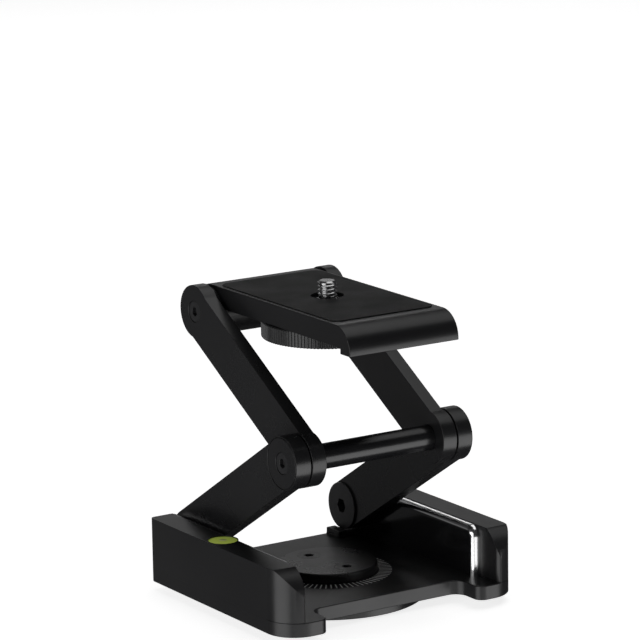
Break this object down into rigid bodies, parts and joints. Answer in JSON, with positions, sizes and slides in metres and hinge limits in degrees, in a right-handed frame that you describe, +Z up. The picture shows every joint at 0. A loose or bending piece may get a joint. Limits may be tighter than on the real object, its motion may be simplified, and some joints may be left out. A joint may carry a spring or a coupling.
{
  "type": "folding camera tilt head",
  "caption": "Folding tilt head for a camera: side arms in a Z between a panning base with walls and a camera plate with a thumb wheel.",
  "frame": {"origin": "point where the pan axis meets the surface the head stands on", "axes": "+Z up along the pan axis, +X along the hinge axles to the head's own left-to-right, -Y the front, where the open ends of the base walls and the plate's nose are"},
  "size_m": [0.092, 0.0935, 0.107],
  "materials": {
    "black_anodised": "black anodised, satin",
    "black_steel": "black oxide",
    "bare_steel": "machined",
    "rubber": "matte",
    "plain_plastic": "natural low-friction plastic",
    "black_plastic": "gloss",
    "white_paint": "filled marks",
    "level_fluid": "tinted",
    "level_bubble": "clear"
  },
  "bodies": {
    "turntable": {"turntable_base": "black_anodised", "turntable_cap": "black_anodised", "cap_screws": "black_steel", "tripod_insert": "bare_steel", "grip_ring": "rubber", "slip_ring": "plain_plastic"},
    "base": {"base_plate": "black_anodised", "left_wall": "black_anodised", "right_wall": "black_anodised", "left_liner": "black_plastic", "right_liner": "black_plastic", "pan_scale": "white_paint", "level_cup": "black_plastic", "level_vial": "level_fluid", "level_bubble": "level_bubble", "wall_screws": "black_steel", "pivot_screws": "black_steel", "pivot_washers": "black_plastic"},
    "lower_arms": {"left_lower_arm": "black_anodised", "right_lower_arm": "black_anodised", "cross_rod": "black_anodised", "rod_screws": "black_steel", "mid_washers": "black_plastic"},
    "upper_arms": {"left_upper_arm": "black_anodised", "right_upper_arm": "black_anodised", "top_axle": "bare_steel", "axle_screws": "black_steel", "top_washers": "black_plastic"},
    "camera_plate": {"top_plate": "black_anodised", "grip_pad": "rubber"},
    "wheel": {"thumb_wheel": "black_anodised", "camera_screw": "bare_steel", "screw_clip": "bare_steel"}
  },
  "joints": [
    {"name": "pan", "type": "hinge", "parent": "turntable", "child": "base", "pos_m": [0, 0, 0.0078], "axis": [0, 0, 1], "continuous": true},
    {"name": "lower_hinge", "type": "hinge", "parent": "base", "child": "lower_arms", "pos_m": [0, 0.0344, 0.0178], "axis": [-1, 0, 0], "range_deg": [-31.5, 48.5]},
    {"name": "middle_hinge", "type": "hinge", "parent": "lower_arms", "child": "upper_arms", "pos_m": [0, -0.02677, 0.05558], "axis": [1, 0, 0], "range_deg": [-54, 53]},
    {"name": "top_hinge", "type": "hinge", "parent": "upper_arms", "child": "camera_plate", "pos_m": [0, 0.03714, 0.09308], "axis": [-1, 0, 0], "range_deg": [-27.5, 70]},
    {"name": "wheel_turn", "type": "hinge", "parent": "camera_plate", "child": "wheel", "pos_m": [0, -0.00226, 0.10203], "axis": [0, 0, 1], "continuous": true}
  ]
}
